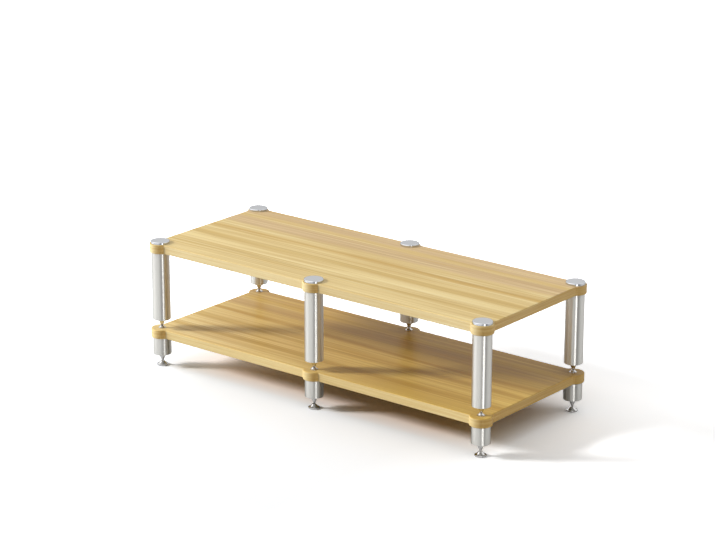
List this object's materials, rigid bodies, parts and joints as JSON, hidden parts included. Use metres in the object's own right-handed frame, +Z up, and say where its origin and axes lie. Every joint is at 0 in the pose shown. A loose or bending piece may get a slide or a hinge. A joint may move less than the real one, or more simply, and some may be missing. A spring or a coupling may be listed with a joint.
{
  "type": "audio equipment rack",
  "caption": "Open two-tier rack for audio equipment: wooden boards with rounded ears on polished metal columns, with spiked levelling feet in turned shoes and a lift-off upper tier.",
  "frame": {"origin": "on the floor under the middle of the rack", "axes": "+X along the rack's length, to the right seen from the front; -Y towards the front; +Z up"},
  "size_m": [1.1396, 0.468, 0.3575],
  "materials": {
    "board_wood": "satin lacquer over pale laminated strips, with banded edges",
    "column_aluminium": "turned and polished",
    "cap_chrome": "polished",
    "spike_chrome": "polished",
    "seat_chrome": "polished",
    "shoe_chrome": "polished",
    "stud_steel": "plain zinc plated"
  },
  "bodies": {
    "lower_tier": {"lower_board": "board_wood", "lower_column_front_left": "column_aluminium", "lower_column_front_middle": "column_aluminium", "lower_column_front_right": "column_aluminium", "lower_column_back_left": "column_aluminium", "lower_column_back_middle": "column_aluminium", "lower_column_back_right": "column_aluminium", "spike_seat_front_left": "seat_chrome", "spike_seat_front_middle": "seat_chrome", "spike_seat_front_right": "seat_chrome", "spike_seat_back_left": "seat_chrome", "spike_seat_back_middle": "seat_chrome", "spike_seat_back_right": "seat_chrome"},
    "upper_tier": {"upper_board": "board_wood", "cap_front_left": "cap_chrome", "cap_front_middle": "cap_chrome", "cap_front_right": "cap_chrome", "cap_back_left": "cap_chrome", "cap_back_middle": "cap_chrome", "cap_back_right": "cap_chrome", "cap_stud_front_left": "stud_steel", "cap_stud_front_middle": "stud_steel", "cap_stud_front_right": "stud_steel", "cap_stud_back_left": "stud_steel", "cap_stud_back_middle": "stud_steel", "cap_stud_back_right": "stud_steel", "upper_column_front_left": "column_aluminium", "upper_column_front_middle": "column_aluminium", "upper_column_front_right": "column_aluminium", "upper_column_back_left": "column_aluminium", "upper_column_back_middle": "column_aluminium", "upper_column_back_right": "column_aluminium", "shelf_spike_front_left": "spike_chrome", "shelf_spike_front_middle": "spike_chrome", "shelf_spike_front_right": "spike_chrome", "shelf_spike_back_left": "spike_chrome", "shelf_spike_back_middle": "spike_chrome", "shelf_spike_back_right": "spike_chrome"},
    "shoe_front_left": {"floor_shoe_front_left": "shoe_chrome"},
    "shoe_front_middle": {"floor_shoe_front_middle": "shoe_chrome"},
    "shoe_front_right": {"floor_shoe_front_right": "shoe_chrome"},
    "shoe_back_left": {"floor_shoe_back_left": "shoe_chrome"},
    "shoe_back_middle": {"floor_shoe_back_middle": "shoe_chrome"},
    "shoe_back_right": {"floor_shoe_back_right": "shoe_chrome"},
    "spike_front_left": {"floor_spike_front_left": "spike_chrome"},
    "spike_front_middle": {"floor_spike_front_middle": "spike_chrome"},
    "spike_front_right": {"floor_spike_front_right": "spike_chrome"},
    "spike_back_left": {"floor_spike_back_left": "spike_chrome"},
    "spike_back_middle": {"floor_spike_back_middle": "spike_chrome"},
    "spike_back_right": {"floor_spike_back_right": "spike_chrome"}
  },
  "joints": [
    {"name": "upper_tier_lift", "type": "slide", "parent": "lower_tier", "child": "upper_tier", "axis": [0, 0, 1], "range_m": [0, 0.06]},
    {"name": "foot_travel_front_left", "type": "slide", "parent": "lower_tier", "child": "shoe_front_left", "axis": [0, 0, -1], "range_m": [0, 0.008]},
    {"name": "foot_travel_front_middle", "type": "slide", "parent": "lower_tier", "child": "shoe_front_middle", "axis": [0, 0, -1], "range_m": [0, 0.008]},
    {"name": "foot_travel_front_right", "type": "slide", "parent": "lower_tier", "child": "shoe_front_right", "axis": [0, 0, -1], "range_m": [0, 0.008]},
    {"name": "foot_travel_back_left", "type": "slide", "parent": "lower_tier", "child": "shoe_back_left", "axis": [0, 0, -1], "range_m": [0, 0.008]},
    {"name": "foot_travel_back_middle", "type": "slide", "parent": "lower_tier", "child": "shoe_back_middle", "axis": [0, 0, -1], "range_m": [0, 0.008]},
    {"name": "foot_travel_back_right", "type": "slide", "parent": "lower_tier", "child": "shoe_back_right", "axis": [0, 0, -1], "range_m": [0, 0.008]},
    {"name": "spike_turn_front_left", "type": "hinge", "parent": "shoe_front_left", "child": "spike_front_left", "pos_m": [-0.54, -0.204, 0.034], "axis": [0, 0, -1], "range_deg": [0, 1920]},
    {"name": "spike_turn_front_middle", "type": "hinge", "parent": "shoe_front_middle", "child": "spike_front_middle", "pos_m": [0, -0.204, 0.034], "axis": [0, 0, -1], "range_deg": [0, 1920]},
    {"name": "spike_turn_front_right", "type": "hinge", "parent": "shoe_front_right", "child": "spike_front_right", "pos_m": [0.54, -0.204, 0.034], "axis": [0, 0, -1], "range_deg": [0, 1920]},
    {"name": "spike_turn_back_left", "type": "hinge", "parent": "shoe_back_left", "child": "spike_back_left", "pos_m": [-0.54, 0.204, 0.034], "axis": [0, 0, -1], "range_deg": [0, 1920]},
    {"name": "spike_turn_back_middle", "type": "hinge", "parent": "shoe_back_middle", "child": "spike_back_middle", "pos_m": [0, 0.204, 0.034], "axis": [0, 0, -1], "range_deg": [0, 1920]},
    {"name": "spike_turn_back_right", "type": "hinge", "parent": "shoe_back_right", "child": "spike_back_right", "pos_m": [0.54, 0.204, 0.034], "axis": [0, 0, -1], "range_deg": [0, 1920]}
  ],
  "couplings": [
    {"joint": "spike_turn_front_left", "follows": "foot_travel_front_left", "rad_per_m": 4188.8},
    {"joint": "spike_turn_front_middle", "follows": "foot_travel_front_middle", "rad_per_m": 4188.8},
    {"joint": "spike_turn_front_right", "follows": "foot_travel_front_right", "rad_per_m": 4188.8},
    {"joint": "spike_turn_back_left", "follows": "foot_travel_back_left", "rad_per_m": 4188.8},
    {"joint": "spike_turn_back_middle", "follows": "foot_travel_back_middle", "rad_per_m": 4188.8},
    {"joint": "spike_turn_back_right", "follows": "foot_travel_back_right", "rad_per_m": 4188.8}
  ]
}
